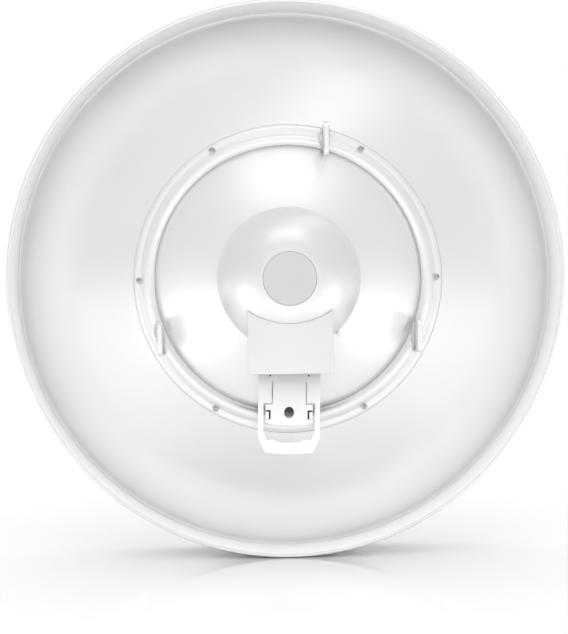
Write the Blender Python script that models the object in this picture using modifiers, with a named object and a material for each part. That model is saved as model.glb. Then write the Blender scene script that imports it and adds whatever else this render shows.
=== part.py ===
"""Parabolic dish antenna with a rear skirt, a mounting ring and a radio housing.

Every sub-part is drawn in the dish's own frame, as seen from behind the dish:
X to the right, Y up, and Z rearwards along the axis, measured from the plane
where the bowl meets the skirt. The empty dish_frame turns that frame so that
the beam leaves along world +Y with world Z up, and it puts the world origin
on the flat face of the top lug, where the pole bracket's arm bolts on.
"""

import math

import bmesh
import bpy
from mathutils import Matrix

# General sizes, in metres
GAP = 0.0003
SHEET = 0.0018
RIM_STEPS = 60
HUB_STEPS = 40
FEED_STEPS = 32
BORE_STEPS = 20
CUT_MARGIN = 0.010

# Skirt: a drum wall from the front rim back past the bowl's edge
SKIRT_WALL = 0.002
SKIRT_OUTER_RADIUS = 0.3625
SKIRT_FRONT_Z = -0.012
SKIRT_REAR_Z = 0.0775
ROLL_RADIUS = 0.0023
BEAD_RADIUS = 0.0042
ROLL_SIDES = 6

# Outer bowl: a paraboloid from the mounting ring out to the skirt
SEAT_Z = 0.145
BOWL_INNER_RADIUS = 0.1790
BOWL_SEAT_RADIUS = 0.1940
BOWL_POINTS = 10

# Centre reflector: a second paraboloid, set a little forward of the bowl
CENTRE_APEX_Z = 0.190
CENTRE_FOCAL_LENGTH = 0.165
CENTRE_HOLE_RADIUS = 0.028
CENTRE_FLANGE_RADIUS = 0.1910
CENTRE_POINTS = 7

# Mounting ring: a flat flange with a round tube welded on it
FLANGE_INNER_RADIUS = 0.1745
FLANGE_OUTER_RADIUS = 0.1932
FLANGE_THICKNESS = 0.003
TUBE_RING_RADIUS = 0.1741
TUBE_RADIUS = 0.0071
TUBE_SIDES = 8

# Lugs: upright plates welded on the tube, one near the top and two low down
LUG_THICKNESS = 0.005
LUG_LENGTH = 0.041
LUG_REAR_Z = 0.190
LUG_CORNER = 0.008
LUG_HOLE_RADIUS = 0.0045
LUG_HOLE_Z = 0.1765
TOP_LUG_X = 0.0480
TOP_LUG_Y = 0.1720
LOW_LUG_X = 0.1597
LOW_LUG_Y = -0.0725
MOUNT_UP_FROM_HOLE = 0.011

# Radio housing: a domed bell with a bare round disc at its centre
DOME_RADIUS = 0.0884
DOME_ARC_RADIUS = 0.070
DOME_TOP_SLOPE = math.radians(5.0)
DOME_TOP_Z = 0.2180
DOME_WALL = 0.0025
DOME_POINTS = 8
DISC_RADIUS = 0.0324
DISC_THICKNESS = 0.0020
TAB_SIZE = (0.0060, 0.0040, 0.0040)
TAB_ANGLE = math.radians(-48.5)

# Neck: a cover with a shallow curved face, reaching down from the dome
NECK_HALF_WIDTH = 0.0521
NECK_BOTTOM_Y = -0.1154
NECK_FACE_Z = 0.2148
NECK_FACE_BULGE = 0.0040
NECK_WALL = 0.0026
NECK_EDGE_RADIUS = 0.0022
NECK_FACE_POINTS = 6
NECK_TOP_ARC_RADIUS = 0.0905
NECK_TOP_ARC_Y = 0.0359
BASE_HALF_WIDTH = 0.0460
BASE_BOTTOM_Y = -0.1120
BASE_REAR_Z = 0.1732

# Port block: hidden up inside the neck, with a cable socket that faces down
PORT_SIZE = (0.060, 0.019, 0.029)
PORT_CENTRE = (0.0, -0.1010, 0.1955)
SOCKET_WIDTH = 0.0160
SOCKET_DEPTH = 0.0130
SOCKET_HEIGHT = 0.0130

# Latch: a tongue with a hole, inside a pull frame that hangs a little askew
LATCH_X = -0.0005
LATCH_TOP_Y = -0.1040
LATCH_TILT = math.radians(-1.4)
FRAME_FRONT_Z = 0.1735
FRAME_THICKNESS = 0.0050
FRAME_HALF_WIDTH = 0.0383
FRAME_ARM_INNER = 0.0317
FRAME_SHOULDER_Y = -0.1537
FRAME_CHAMFER_Y = -0.1974
FRAME_BOTTOM_HALF_WIDTH = 0.0294
FRAME_CORNER_Y = -0.2147
FRAME_BOTTOM_Y = -0.2167
GRIP_SIDE_Y = -0.1893
GRIP_HALF_WIDTH = 0.0268
GRIP_END_Y = -0.2004
GRIP_BUMP_X = 0.0216
GRIP_HIGH_Y = -0.1984
GRIP_MID_HALF_WIDTH = 0.0108
GRIP_LOW_Y = -0.2023
PIN_HOLE_X = 0.0238
PIN_HOLE_Y = -0.1195
PIN_HOLE_RADIUS = 0.0012
TONGUE_FRONT_Z = 0.1750
TONGUE_THICKNESS = 0.0035
TONGUE_HALF_WIDTH = 0.0202
SLIT_WIDTH = 0.0015
SLIT_TOP_Y = -0.1270
FOOT_HALF_WIDTH = 0.0292
FOOT_TOP_Y = -0.1554
FOOT_SIDE_Y = -0.1776
FOOT_BOTTOM_Y = -0.1812
NOTCH_X = 0.0228
NOTCH_TOP_Y = -0.1624
NOTCH_BOTTOM_Y = -0.1741
NOTCH_GAP = 0.0022
TONGUE_HOLE_Y = -0.1653
TONGUE_HOLE_HALF_WIDTH = 0.0062
TONGUE_HOLE_HALF_HEIGHT = 0.0072

# Feed: the tube, cone and small reflector in front of the centre
COLLAR_RADIUS = 0.042
COLLAR_FRONT_Z = 0.1790
COLLAR_REAR_Z = 0.1845
SPIGOT_REAR_Z = 0.2050
FEED_TUBE_RADIUS = 0.019
FEED_CONE_REAR_Z = 0.060
FEED_CONE_FRONT_Z = 0.036
SPLASH_RADIUS = 0.045
SPLASH_FRONT_Z = 0.030
CAP_FRONT_Z = 0.016

# Colours as (red, green, blue), with roughness and metallic values
WHITE_COAT = ((0.86, 0.86, 0.86), 0.38, 0.0)
WHITE_MOULDING = ((0.88, 0.88, 0.88), 0.45, 0.0)
GREY_MOULDING = ((0.70, 0.70, 0.71), 0.50, 0.0)
DARK_MOULDING = ((0.10, 0.10, 0.10), 0.60, 0.0)
BARE_METAL = ((0.75, 0.75, 0.76), 0.35, 1.0)


# Helpers

def clear_scene():
    for obj in list(bpy.data.objects):
        bpy.data.objects.remove(obj, do_unlink=True)


def make_collection(name, hidden=False):
    collection = bpy.data.collections.new(name)
    bpy.context.scene.collection.children.link(collection)
    collection.hide_render = hidden
    return collection


def make_material(name, finish):
    colour, roughness, metallic = finish
    material = bpy.data.materials.new(name)
    material.use_nodes = True
    shader = material.node_tree.nodes["Principled BSDF"]
    shader.inputs["Base Color"].default_value = (*colour, 1.0)
    shader.inputs["Roughness"].default_value = roughness
    shader.inputs["Metallic"].default_value = metallic
    return material


def add_object(name, data, finish):
    """Link a mesh or curve as one sub-part with a material of its own."""
    obj = bpy.data.objects.new(name, data)
    data.materials.append(make_material(name, finish))
    PARTS.objects.link(obj)
    obj.parent = FRAME
    return obj


def add_cutter(obj):
    """Turn a finished solid into a hidden cutter."""
    PARTS.objects.unlink(obj)
    CUTTERS.objects.link(obj)
    obj.hide_render = True
    obj.display_type = "WIRE"
    return obj


def cut(obj, cutter):
    modifier = obj.modifiers.new("cut", "BOOLEAN")
    modifier.operation = "DIFFERENCE"
    modifier.solver = "EXACT"
    modifier.object = cutter


def profile_mesh(name, points, closed):
    """A profile in the XZ plane: points are (radius, z)."""
    mesh = bpy.data.meshes.new(name)
    edges = [(i, i + 1) for i in range(len(points) - 1)]
    if closed:
        edges.append((len(points) - 1, 0))
    mesh.from_pydata([(r, 0.0, z) for r, z in points], edges, [])
    return mesh


def turned(name, points, finish, steps, closed=True):
    """A solid of revolution about Z; the profile runs down its outer side."""
    obj = add_object(name, profile_mesh(name, points, closed), finish)
    screw = obj.modifiers.new("turn", "SCREW")
    screw.axis = "Z"
    screw.steps = steps
    screw.render_steps = steps
    screw.use_merge_vertices = True
    screw.merge_threshold = 0.00001
    screw.use_smooth_shade = True
    return obj


def turned_shell(name, points, finish, steps, thickness):
    """A turned sheet: an open profile with the thickness added on its front side."""
    obj = turned(name, points, finish, steps, closed=False)
    solidify = obj.modifiers.new("sheet", "SOLIDIFY")
    solidify.thickness = thickness
    solidify.offset = -1.0
    solidify.use_even_offset = True
    return obj


def ring_profile(centre_radius, centre_z, section_radius, sides):
    """A round section, run clockwise so that its outer side goes down."""
    points = []
    for i in range(sides):
        angle = -math.tau * i / sides
        points.append((centre_radius + section_radius * math.cos(angle),
                       centre_z + section_radius * math.sin(angle)))
    return points


def rectangle_profile(inner_radius, outer_radius, front_z, rear_z):
    return [(inner_radius, rear_z), (outer_radius, rear_z),
            (outer_radius, front_z), (inner_radius, front_z)]


def outline_curve(name, outlines, thickness, finish):
    """A flat piece from closed outlines; the first is its edge, the rest are holes."""
    curve = bpy.data.curves.new(name, "CURVE")
    curve.dimensions = "2D"
    curve.fill_mode = "BOTH"
    curve.extrude = thickness / 2.0
    for outline in outlines:
        spline = curve.splines.new("POLY")
        spline.points.add(len(outline) - 1)
        for point, (x, y) in zip(spline.points, outline):
            point.co = (x, y, 0.0, 1.0)
        spline.use_cyclic_u = True
    return add_object(name, curve, finish)


def to_mesh(obj):
    """Replace a curve object by a welded mesh, so that it can be cut."""
    name = obj.name
    bpy.context.view_layer.update()
    evaluated = obj.evaluated_get(bpy.context.evaluated_depsgraph_get())
    mesh = bpy.data.meshes.new_from_object(evaluated)
    shape = bmesh.new()
    shape.from_mesh(mesh)
    bmesh.ops.remove_doubles(shape, verts=shape.verts, dist=0.00001)
    bmesh.ops.recalc_face_normals(shape, faces=shape.faces)
    shape.to_mesh(mesh)
    shape.free()
    placed = obj.matrix_basis.copy()
    bpy.data.objects.remove(obj, do_unlink=True)
    solid = bpy.data.objects.new(name, mesh)
    PARTS.objects.link(solid)
    solid.parent = FRAME
    solid.matrix_basis = placed
    return solid


def box(name, size, centre, finish):
    mesh = bpy.data.meshes.new(name)
    shape = bmesh.new()
    bmesh.ops.create_cube(shape, size=1.0)
    bmesh.ops.scale(shape, vec=size, verts=shape.verts)
    shape.to_mesh(mesh)
    shape.free()
    obj = add_object(name, mesh, finish)
    obj.location = centre
    return obj


def ellipse(centre_x, centre_y, half_width, half_height, steps):
    return [(centre_x + half_width * math.cos(math.tau * i / steps),
             centre_y + half_height * math.sin(math.tau * i / steps)) for i in range(steps)]


def arc(centre_x, centre_y, radius, start, end, steps):
    return [(centre_x + radius * math.cos(start + (end - start) * i / steps),
             centre_y + radius * math.sin(start + (end - start) * i / steps))
            for i in range(steps + 1)]


def mirrored(half):
    """Close an outline from its right half, listed from top to bottom."""
    return half + [(-x, y) for x, y in reversed(half)]


# Surfaces of the two paraboloids, as depths behind the bowl's edge plane

def bowl_edge_radius():
    return SKIRT_OUTER_RADIUS - SKIRT_WALL - GAP


def bowl_rear_z(radius):
    edge = bowl_edge_radius()
    slope = SEAT_Z / (edge ** 2 - BOWL_SEAT_RADIUS ** 2)
    return (edge ** 2 - radius ** 2) * slope


def centre_rear_z(radius):
    return CENTRE_APEX_Z - radius ** 2 / (4.0 * CENTRE_FOCAL_LENGTH)


def centre_flange_z():
    return SEAT_Z - GAP - SHEET - GAP


def evenly(start, end, count):
    return [start + (end - start) * i / (count - 1) for i in range(count)]


# Reflectors and skirt

def outer_bowl():
    """The bowl, with a flat seat under the ring and a lip turned forward at its edge."""
    edge = bowl_edge_radius()
    profile = [(BOWL_INNER_RADIUS, SEAT_Z - GAP), (BOWL_SEAT_RADIUS - GAP, SEAT_Z - GAP)]
    for radius in evenly(BOWL_SEAT_RADIUS + SHEET, edge, BOWL_POINTS):
        profile.append((radius, bowl_rear_z(radius)))
    profile.append((edge, SKIRT_FRONT_Z + GAP))
    turned_shell("outer_bowl", profile, WHITE_COAT, RIM_STEPS, SHEET)


def centre_reflector():
    """The centre dish, open in the middle for the feed, with a flat rim under the bowl."""
    flange_z = centre_flange_z()
    meet = math.sqrt((CENTRE_APEX_Z - flange_z) * 4.0 * CENTRE_FOCAL_LENGTH)
    profile = [(r, centre_rear_z(r)) for r in evenly(CENTRE_HOLE_RADIUS, meet, CENTRE_POINTS)]
    profile.append((CENTRE_FLANGE_RADIUS, flange_z))
    turned_shell("centre_reflector", profile, WHITE_COAT, RIM_STEPS, SHEET)


def skirt():
    """The drum wall with a rolled edge behind and a bead in front."""
    inner = SKIRT_OUTER_RADIUS - SKIRT_WALL
    middle = SKIRT_OUTER_RADIUS - SKIRT_WALL / 2.0
    wall = rectangle_profile(inner, SKIRT_OUTER_RADIUS, SKIRT_FRONT_Z, SKIRT_REAR_Z)
    turned("rim_skirt", wall, WHITE_COAT, RIM_STEPS)
    roll_z = SKIRT_REAR_Z + GAP + ROLL_RADIUS
    roll = ring_profile(middle, roll_z, ROLL_RADIUS, ROLL_SIDES)
    turned("rim_roll", roll, WHITE_COAT, RIM_STEPS)
    bead_z = SKIRT_FRONT_Z - GAP - BEAD_RADIUS
    bead = ring_profile(middle - SHEET / 2.0, bead_z, BEAD_RADIUS, ROLL_SIDES)
    turned("front_bead", bead, WHITE_COAT, RIM_STEPS)


# Mounting ring and lugs

def tube_centre_z():
    return SEAT_Z + FLANGE_THICKNESS + GAP + TUBE_RADIUS


def mounting_ring():
    flange = rectangle_profile(FLANGE_INNER_RADIUS, FLANGE_OUTER_RADIUS,
                               SEAT_Z, SEAT_Z + FLANGE_THICKNESS)
    turned("ring_flange", flange, WHITE_COAT, RIM_STEPS)
    tube = ring_profile(TUBE_RING_RADIUS, tube_centre_z(), TUBE_RADIUS, TUBE_SIDES)
    turned("ring_tube", tube, WHITE_COAT, RIM_STEPS)


def lug(name, x, y):
    """A plate standing on the tube's rear side: rounded behind, with one bolt hole."""
    half = LUG_LENGTH / 2.0
    front = tube_centre_z() + TUBE_RADIUS + GAP
    corner = LUG_REAR_Z - LUG_CORNER
    edge = [(half, front)]
    edge += arc(half - LUG_CORNER, corner, LUG_CORNER, 0.0, math.pi / 2.0, 4)
    edge += arc(LUG_CORNER - half, corner, LUG_CORNER, math.pi / 2.0, math.pi, 4)
    edge.append((-half, front))
    hole = ellipse(0.0, LUG_HOLE_Z, LUG_HOLE_RADIUS, LUG_HOLE_RADIUS, BORE_STEPS)
    plate = outline_curve(name, [edge, hole], LUG_THICKNESS, WHITE_COAT)
    upright = Matrix(((0, 0, 1), (1, 0, 0), (0, 1, 0))).to_4x4()
    plate.matrix_basis = Matrix.Translation((x, y, 0.0)) @ upright


def lugs():
    lug("lug_top", TOP_LUG_X, TOP_LUG_Y)
    lug("lug_left", -LOW_LUG_X, LOW_LUG_Y)
    lug("lug_right", LOW_LUG_X, LOW_LUG_Y)


# Radio housing

def dome_arc(grow):
    """Points of the dome's outer side, from the disc's seat down to its edge."""
    centre_radius = DISC_RADIUS + GAP - DOME_ARC_RADIUS * math.sin(DOME_TOP_SLOPE)
    centre_z = DOME_TOP_Z - DOME_ARC_RADIUS * math.cos(DOME_TOP_SLOPE)
    end = math.asin((DOME_RADIUS - centre_radius) / DOME_ARC_RADIUS)
    size = DOME_ARC_RADIUS + grow
    return [(centre_radius + size * math.sin(slope), centre_z + size * math.cos(slope))
            for slope in evenly(DOME_TOP_SLOPE, end, DOME_POINTS)]


def dome_rim_z():
    return centre_rear_z(DOME_RADIUS) + GAP


def rear_housing():
    """The domed bell: open in front, with a shallow round seat for the disc behind."""
    outer = dome_arc(0.0)
    inner = [(r, z) for r, z in reversed(dome_arc(-DOME_WALL))]
    seat_z = DOME_TOP_Z - DISC_THICKNESS - GAP
    rim_z = dome_rim_z()
    profile = [(0.0, seat_z), (DISC_RADIUS + GAP, seat_z)]
    profile += outer
    profile += [(DOME_RADIUS, rim_z), (DOME_RADIUS - DOME_WALL, centre_rear_z(
        DOME_RADIUS - DOME_WALL) + GAP)]
    profile += inner[:-1]
    profile += [(DISC_RADIUS - DOME_WALL, seat_z - DOME_WALL), (0.0, seat_z - DOME_WALL)]
    turned("rear_housing", profile, WHITE_MOULDING, HUB_STEPS, closed=False)
    disc_front = DOME_TOP_Z - DISC_THICKNESS
    disc = [(0.0, DOME_TOP_Z), (DISC_RADIUS, DOME_TOP_Z), (DISC_RADIUS, disc_front),
            (0.0, disc_front)]
    turned("housing_disc", disc, GREY_MOULDING, HUB_STEPS, closed=False)


def housing_tab():
    """The small stop that shows at the dome's lower right edge."""
    reach = DOME_RADIUS + GAP + TAB_SIZE[0] / 2.0
    low_edge = DOME_RADIUS + GAP
    z = centre_rear_z(low_edge) + GAP + TAB_SIZE[2] / 2.0
    tab = box("housing_tab", TAB_SIZE,
              (reach * math.cos(TAB_ANGLE), reach * math.sin(TAB_ANGLE), z), GREY_MOULDING)
    tab.rotation_euler = (0.0, 0.0, TAB_ANGLE)


def dome_cutter():
    """The dome as a full solid with the clearance added."""
    outer = dome_arc(GAP)
    profile = [(0.0, DOME_TOP_Z + CUT_MARGIN), (outer[0][0], DOME_TOP_Z + CUT_MARGIN)]
    profile += outer
    profile += [(DOME_RADIUS + GAP, dome_rim_z() - CUT_MARGIN), (0.0, dome_rim_z() - CUT_MARGIN)]
    return add_cutter(turned("dome_cutter", profile, WHITE_COAT, HUB_STEPS, closed=False))


def reflector_cutter():
    """The space in front of the centre reflector's rear surface, with the clearance added."""
    profile = [(r, centre_rear_z(r) + GAP) for r in evenly(0.0, FLANGE_INNER_RADIUS, 12)]
    front = centre_flange_z() - CUT_MARGIN
    profile += [(FLANGE_INNER_RADIUS, front), (0.0, front)]
    return add_cutter(turned("reflector_cutter", profile, WHITE_COAT, RIM_STEPS, closed=False))


# Neck and port

def neck_face(half_width, face_z, edge_radius):
    """The rear face seen from below, right side first: a shallow bulge with round edges."""
    points = []
    flat = half_width - edge_radius
    for x in evenly(0.0, flat, NECK_FACE_POINTS):
        points.append((x, face_z - NECK_FACE_BULGE * (x / flat) ** 2))
    side_z = points[-1][1] - edge_radius
    return points[:-1] + arc(flat, side_z, edge_radius, math.pi / 2.0, 0.0, 3)


def neck_cover(dome, reflector):
    """The cover: a curved face and two side walls, open below and in front."""
    front_z = centre_rear_z(NECK_HALF_WIDTH - NECK_BOTTOM_Y) - CUT_MARGIN
    outer = neck_face(NECK_HALF_WIDTH, NECK_FACE_Z, NECK_EDGE_RADIUS)
    inner = neck_face(NECK_HALF_WIDTH - NECK_WALL, NECK_FACE_Z - NECK_WALL, NECK_WALL / 4.0)
    right = outer + [(NECK_HALF_WIDTH, front_z), (NECK_HALF_WIDTH - NECK_WALL, front_z)]
    right += list(reversed(inner))
    left = [(-x, z) for x, z in reversed(right[1:-1])]
    top_y = NECK_TOP_ARC_Y - NECK_TOP_ARC_RADIUS + 0.5 * NECK_HALF_WIDTH
    channel = outline_curve("neck_cover", [right + left], top_y - NECK_BOTTOM_Y, WHITE_MOULDING)
    channel.rotation_euler = (math.pi / 2.0, 0.0, 0.0)
    channel.location = (0.0, (top_y + NECK_BOTTOM_Y) / 2.0, 0.0)
    solid = to_mesh(channel)
    throat = [(0.0, NECK_FACE_Z + CUT_MARGIN), (NECK_TOP_ARC_RADIUS, NECK_FACE_Z + CUT_MARGIN),
              (NECK_TOP_ARC_RADIUS, front_z - CUT_MARGIN), (0.0, front_z - CUT_MARGIN)]
    upper = add_cutter(turned("neck_arc_cutter", throat, WHITE_COAT, RIM_STEPS, closed=False))
    upper.location = (0.0, NECK_TOP_ARC_Y, 0.0)
    for cutter in (upper, dome, reflector):
        cut(solid, cutter)


def neck_base(dome, reflector):
    """The plinth on the reflector that carries the cover and the latch."""
    top_y = -DOME_RADIUS / 2.0
    front_z = centre_flange_z()
    base = box("neck_base", (2.0 * BASE_HALF_WIDTH, top_y - BASE_BOTTOM_Y, BASE_REAR_Z - front_z),
               (0.0, (top_y + BASE_BOTTOM_Y) / 2.0, (BASE_REAR_Z + front_z) / 2.0),
               WHITE_MOULDING)
    cut(base, dome)
    cut(base, reflector)


def port_block():
    """The block behind the cover, with one square socket in its underside."""
    block = box("port_block", PORT_SIZE, PORT_CENTRE, DARK_MOULDING)
    bottom_y = PORT_CENTRE[1] - PORT_SIZE[1] / 2.0
    socket = box("socket_cutter", (SOCKET_WIDTH, 2.0 * SOCKET_DEPTH, SOCKET_HEIGHT),
                 (0.0, bottom_y, PORT_CENTRE[2]), WHITE_COAT)
    cut(block, add_cutter(socket))


# Latch

def latch_place(front_z, thickness):
    """Where a flat latch piece sits: turned a little about the latch's upper edge."""
    pivot = Matrix.Translation((LATCH_X, LATCH_TOP_Y, front_z + thickness / 2.0))
    return pivot @ Matrix.Rotation(LATCH_TILT, 4, "Z") @ Matrix.Translation(
        (0.0, -LATCH_TOP_Y, 0.0))


def grip_line():
    """The right half of the grip's wavy upper edge, from the arm to the middle."""
    return [(FRAME_ARM_INNER, GRIP_SIDE_Y), (GRIP_HALF_WIDTH, GRIP_END_Y),
            (GRIP_BUMP_X, GRIP_HIGH_Y), (GRIP_MID_HALF_WIDTH, GRIP_LOW_Y)]


def latch_frame():
    """The pull frame: a bridge above the tongue, two arms and a wavy grip bar."""
    right = [(FRAME_HALF_WIDTH, LATCH_TOP_Y), (FRAME_HALF_WIDTH, FRAME_CHAMFER_Y),
             (FRAME_BOTTOM_HALF_WIDTH, FRAME_CORNER_Y)]
    rise = FRAME_CORNER_Y - FRAME_BOTTOM_Y
    bottom = [(share * FRAME_BOTTOM_HALF_WIDTH, FRAME_BOTTOM_Y + rise * share ** 2)
              for share in (0.66, 0.33)]
    shoulder = TONGUE_HALF_WIDTH + SLIT_WIDTH
    window = [(shoulder, SLIT_TOP_Y), (shoulder, FRAME_SHOULDER_Y),
              (FRAME_ARM_INNER, FRAME_SHOULDER_Y)] + grip_line()
    pin_holes = [ellipse(side * PIN_HOLE_X, PIN_HOLE_Y, PIN_HOLE_RADIUS, PIN_HOLE_RADIUS, 8)
                 for side in (-1.0, 1.0)]
    outlines = [mirrored(right + bottom), mirrored(window)] + pin_holes
    frame = outline_curve("latch_frame", outlines, FRAME_THICKNESS, WHITE_MOULDING)
    frame.matrix_basis = latch_place(FRAME_FRONT_Z, FRAME_THICKNESS)


def latch_tongue():
    """The tongue: a stem, a wide foot notched for the catches, and one hole."""
    top_y = SLIT_TOP_Y - GAP
    right = [(TONGUE_HALF_WIDTH, top_y), (TONGUE_HALF_WIDTH, FOOT_TOP_Y),
             (FOOT_HALF_WIDTH, FOOT_TOP_Y), (FOOT_HALF_WIDTH, NOTCH_TOP_Y),
             (NOTCH_X, NOTCH_TOP_Y), (NOTCH_X, NOTCH_BOTTOM_Y),
             (FOOT_HALF_WIDTH, NOTCH_BOTTOM_Y), (FOOT_HALF_WIDTH, FOOT_SIDE_Y)]
    rise = FOOT_SIDE_Y - FOOT_BOTTOM_Y
    curved = [(share * FOOT_HALF_WIDTH, FOOT_BOTTOM_Y + rise * share ** 4)
              for share in (0.9, 0.75, 0.5)]
    hole = ellipse(0.0, TONGUE_HOLE_Y, TONGUE_HOLE_HALF_WIDTH, TONGUE_HOLE_HALF_HEIGHT,
                   BORE_STEPS)
    tongue = outline_curve("latch_tongue", [mirrored(right + curved), hole], TONGUE_THICKNESS,
                           WHITE_MOULDING)
    tongue.matrix_basis = latch_place(TONGUE_FRONT_Z, TONGUE_THICKNESS)


def catches():
    """The two small hooks that sit in the foot's notches."""
    inner_x = NOTCH_X + NOTCH_GAP
    top_y = NOTCH_TOP_Y - NOTCH_GAP
    bottom_y = NOTCH_BOTTOM_Y + GAP
    size = (FOOT_HALF_WIDTH - inner_x, top_y - bottom_y, TONGUE_THICKNESS)
    place = latch_place(TONGUE_FRONT_Z, TONGUE_THICKNESS)
    for name, side in (("catch_left", -1.0), ("catch_right", 1.0)):
        middle = (side * (FOOT_HALF_WIDTH + inner_x) / 2.0, (top_y + bottom_y) / 2.0, 0.0)
        hook = box(name, size, middle, WHITE_MOULDING)
        hook.matrix_basis = place @ Matrix.Translation(middle)


# Feed, in front of the reflector

def feed():
    spigot = CENTRE_HOLE_RADIUS - GAP
    collar = [(0.0, SPIGOT_REAR_Z), (spigot, SPIGOT_REAR_Z), (spigot, COLLAR_REAR_Z),
              (COLLAR_RADIUS, COLLAR_REAR_Z), (COLLAR_RADIUS, COLLAR_FRONT_Z),
              (0.0, COLLAR_FRONT_Z)]
    turned("feed_collar", collar, WHITE_MOULDING, FEED_STEPS, closed=False)
    tube_rear = COLLAR_FRONT_Z - GAP
    tube = [(0.0, tube_rear), (FEED_TUBE_RADIUS, tube_rear),
            (FEED_TUBE_RADIUS, FEED_CONE_REAR_Z), (0.0, FEED_CONE_REAR_Z)]
    turned("feed_tube", tube, WHITE_MOULDING, FEED_STEPS, closed=False)
    cone_rear = FEED_CONE_REAR_Z - GAP
    cone = [(0.0, cone_rear), (FEED_TUBE_RADIUS, cone_rear),
            (SPLASH_RADIUS, FEED_CONE_FRONT_Z), (0.0, FEED_CONE_FRONT_Z)]
    turned("feed_cone", cone, GREY_MOULDING, FEED_STEPS, closed=False)
    splash_rear = FEED_CONE_FRONT_Z - GAP
    splash = [(0.0, splash_rear), (SPLASH_RADIUS, splash_rear),
              (SPLASH_RADIUS, SPLASH_FRONT_Z), (0.0, SPLASH_FRONT_Z)]
    turned("splash_plate", splash, BARE_METAL, FEED_STEPS, closed=False)
    cap_rear = SPLASH_FRONT_Z - GAP
    depth = cap_rear - CAP_FRONT_Z
    cap = [(0.0, cap_rear)]
    cap += [(SPLASH_RADIUS * math.cos(turn), cap_rear - depth * math.sin(turn))
            for turn in evenly(0.0, math.pi / 2.0, 6)]
    turned("feed_cap", cap, WHITE_MOULDING, FEED_STEPS, closed=False)


def main():
    outer_bowl()
    centre_reflector()
    skirt()
    mounting_ring()
    lugs()
    rear_housing()
    housing_tab()
    dome = dome_cutter()
    reflector = reflector_cutter()
    neck_cover(dome, reflector)
    neck_base(dome, reflector)
    port_block()
    latch_frame()
    latch_tongue()
    catches()
    feed()


clear_scene()
PARTS = make_collection("parabolic_dish_antenna")
CUTTERS = make_collection("cutters", hidden=True)
FRAME = bpy.data.objects.new("dish_frame", None)
PARTS.objects.link(FRAME)
FRAME.rotation_euler = (math.pi / 2.0, 0.0, 0.0)
FRAME.location = (LUG_THICKNESS / 2.0 - TOP_LUG_X, LUG_HOLE_Z, -TOP_LUG_Y - MOUNT_UP_FROM_HOLE)
main()
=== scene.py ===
"""Fine surfaces, finishes, floor, light and camera for the parabolic dish antenna.

Pieces are drawn in the dish's own frame, as seen from behind: X to the right,
Y up, Z rearwards along the axis from the plane where bowl and skirt meet.
dish_place() turns that frame into the part's frame, where +Y is the beam and
+Z is up.
"""

import math
import random

import bmesh
import bpy
from mathutils import Matrix, Vector, noise


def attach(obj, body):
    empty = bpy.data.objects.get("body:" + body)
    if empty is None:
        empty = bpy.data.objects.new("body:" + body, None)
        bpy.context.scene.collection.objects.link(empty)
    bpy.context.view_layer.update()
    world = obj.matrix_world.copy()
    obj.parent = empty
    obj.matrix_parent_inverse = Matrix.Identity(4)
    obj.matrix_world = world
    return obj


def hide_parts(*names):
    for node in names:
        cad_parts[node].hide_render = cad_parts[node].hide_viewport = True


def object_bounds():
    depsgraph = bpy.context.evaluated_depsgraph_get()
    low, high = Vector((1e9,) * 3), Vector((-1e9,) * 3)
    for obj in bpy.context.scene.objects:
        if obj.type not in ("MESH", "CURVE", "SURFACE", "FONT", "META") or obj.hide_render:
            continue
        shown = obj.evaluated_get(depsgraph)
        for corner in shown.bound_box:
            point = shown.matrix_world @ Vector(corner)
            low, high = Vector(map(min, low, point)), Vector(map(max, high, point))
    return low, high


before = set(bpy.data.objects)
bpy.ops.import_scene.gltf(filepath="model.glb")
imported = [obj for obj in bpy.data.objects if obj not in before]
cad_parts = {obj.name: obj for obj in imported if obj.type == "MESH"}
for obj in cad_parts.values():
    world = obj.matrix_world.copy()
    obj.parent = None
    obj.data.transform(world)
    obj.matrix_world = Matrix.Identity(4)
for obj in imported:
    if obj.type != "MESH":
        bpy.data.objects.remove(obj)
solid_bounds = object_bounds()

# Sizes of the solids, in metres, as in the part's source
GAP = 0.0003
SHEET = 0.0018
SKIRT_WALL = 0.002
SKIRT_OUTER_RADIUS = 0.3625
SKIRT_FRONT_Z = -0.012
SKIRT_REAR_Z = 0.0775
ROLL_RADIUS = 0.0023
BEAD_RADIUS = 0.0042
SEAT_Z = 0.145
BOWL_INNER_RADIUS = 0.1790
BOWL_SEAT_RADIUS = 0.1940
CENTRE_APEX_Z = 0.190
CENTRE_FOCAL_LENGTH = 0.165
CENTRE_HOLE_RADIUS = 0.028
CENTRE_FLANGE_RADIUS = 0.1910
FLANGE_INNER_RADIUS = 0.1745
FLANGE_THICKNESS = 0.003
TUBE_RING_RADIUS = 0.1741
TUBE_RADIUS = 0.0071
LUG_THICKNESS = 0.005
LUG_LENGTH = 0.041
LUG_REAR_Z = 0.190
LUG_CORNER = 0.008
LUG_HOLE_RADIUS = 0.0045
LUG_HOLE_Z = 0.1765
TOP_LUG_X = 0.0480
TOP_LUG_Y = 0.1720
LOW_LUG_X = 0.1597
LOW_LUG_Y = -0.0725
MOUNT_UP_FROM_HOLE = 0.011
DOME_RADIUS = 0.0884
DOME_ARC_RADIUS = 0.070
DOME_TOP_SLOPE = math.radians(5.0)
DOME_TOP_Z = 0.2180
DOME_WALL = 0.0025
DISC_RADIUS = 0.0324
DISC_THICKNESS = 0.0020
TAB_SIZE = (0.0060, 0.0040, 0.0040)
TAB_ANGLE = math.radians(-48.5)
NECK_HALF_WIDTH = 0.0521
NECK_BOTTOM_Y = -0.1154
NECK_FACE_Z = 0.2148
NECK_FACE_BULGE = 0.0040
NECK_WALL = 0.0026
NECK_EDGE_RADIUS = 0.0022
NECK_TOP_ARC_RADIUS = 0.0905
NECK_TOP_ARC_Y = 0.0359
LATCH_X = -0.0005
LATCH_TOP_Y = -0.1040
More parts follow.
